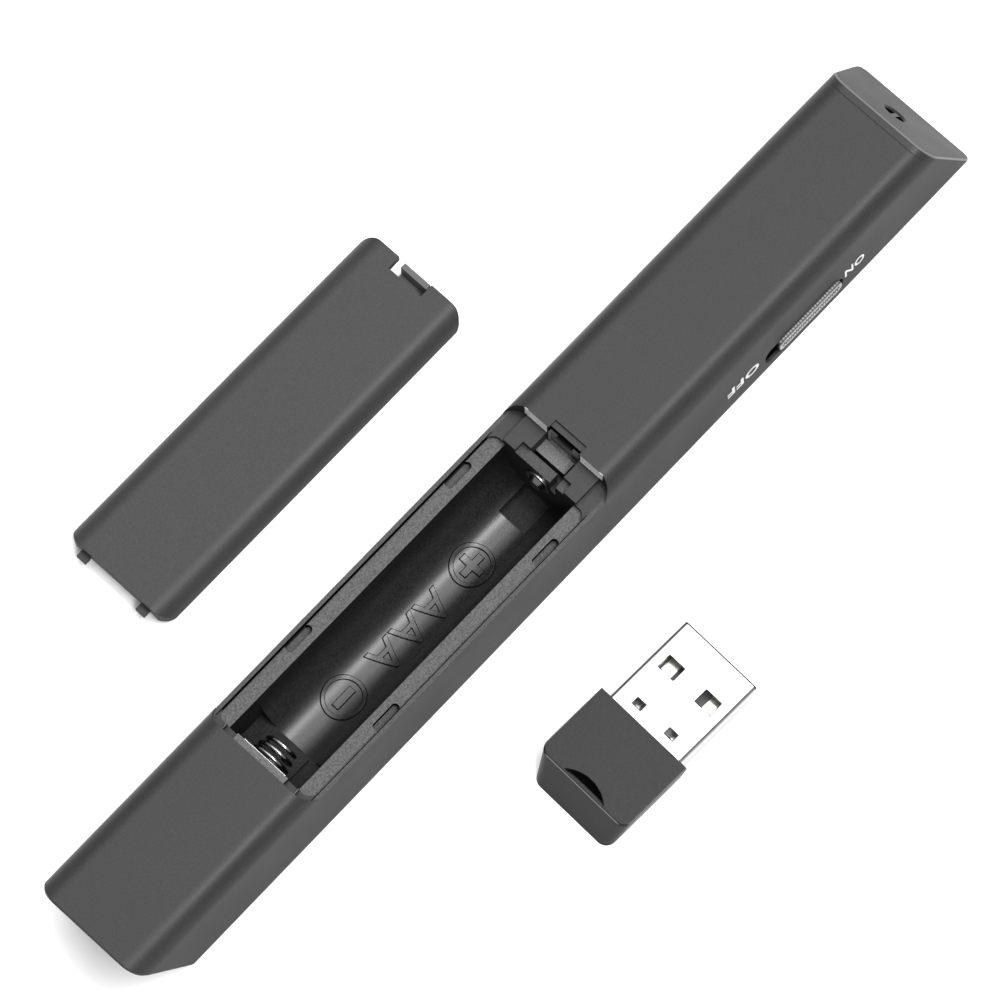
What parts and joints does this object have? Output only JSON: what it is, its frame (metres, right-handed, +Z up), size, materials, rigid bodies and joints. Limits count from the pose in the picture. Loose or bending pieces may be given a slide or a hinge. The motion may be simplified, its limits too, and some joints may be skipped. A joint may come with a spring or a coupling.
{
  "type": "wireless presentation clicker",
  "caption": "Slim black presentation clicker lying on its keys, battery bay open, with its cover and USB receiver beside it.",
  "frame": {"origin": "middle of the flat button face that the clicker lies on", "axes": "+X along the clicker towards its laser nose, +Y towards the loose battery cover, +Z up, out of the battery side"},
  "size_m": [0.1487, 0.0764, 0.0144],
  "materials": {
    "black_plastic": "fine satin texture",
    "grey_plastic": "satin",
    "inner_plastic": "satin",
    "key_rubber": "matt",
    "clear_plastic": "polished",
    "board_laminate": "solder mask",
    "chip_resin": "moulded",
    "plated_steel": "plated",
    "contact_steel": "bright nickel",
    "plug_steel": "stamped, nickel plated",
    "gold_plate": "flash gold",
    "turned_brass": "turned"
  },
  "bodies": {
    "handset": {"back_shell": "black_plastic", "front_shell": "black_plastic", "nose_plate": "black_plastic", "switch_case": "plated_steel", "main_board": "board_laminate", "radio_chip": "chip_resin", "crystal": "plated_steel", "board_parts": "chip_resin", "key_switches": "inner_plastic", "status_led": "inner_plastic", "light_pipe": "clear_plastic", "board_screws": "plated_steel", "laser_barrel": "turned_brass", "laser_lens": "clear_plastic", "laser_driver": "board_laminate", "positive_contact": "contact_steel", "negative_plate": "contact_steel", "battery_strip": "contact_steel", "negative_spring": "contact_steel"},
    "power_slider": {"switch_knob": "grey_plastic", "switch_slider": "inner_plastic"},
    "blank_button": {"blank_key": "key_rubber"},
    "back_button": {"back_key": "key_rubber"},
    "forward_button": {"forward_key": "key_rubber"},
    "laser_button": {"laser_key": "key_rubber"},
    "cover": {"battery_cover": "black_plastic"},
    "receiver": {"receiver_housing": "black_plastic", "usb_shell": "plug_steel", "usb_tongue": "inner_plastic", "usb_contacts": "gold_plate", "receiver_board": "board_laminate", "receiver_chip": "chip_resin"}
  },
  "joints": [
    {"name": "power_slide", "type": "slide", "parent": "handset", "child": "power_slider", "axis": [1, 0, 0], "range_m": [-0.002, 0]},
    {"name": "blank_press", "type": "slide", "parent": "handset", "child": "blank_button", "axis": [0, 0, 1], "range_m": [0, 0.0004], "stiffness_N_per_m": 3000},
    {"name": "back_press", "type": "slide", "parent": "handset", "child": "back_button", "axis": [0, 0, 1], "range_m": [0, 0.0004], "stiffness_N_per_m": 3000},
    {"name": "forward_press", "type": "slide", "parent": "handset", "child": "forward_button", "axis": [0, 0, 1], "range_m": [0, 0.0004], "stiffness_N_per_m": 3000},
    {"name": "laser_press", "type": "slide", "parent": "handset", "child": "laser_button", "axis": [0, 0, 1], "range_m": [0, 0.0004], "stiffness_N_per_m": 3000},
    {"name": "cover_lift", "type": "slide", "parent": "handset", "child": "cover", "axis": [0, 0, 1], "range_m": [0, 0.04]},
    {"name": "receiver_lift", "type": "slide", "parent": "handset", "child": "receiver", "axis": [0, 0, 1], "range_m": [0, 0.04]}
  ]
}
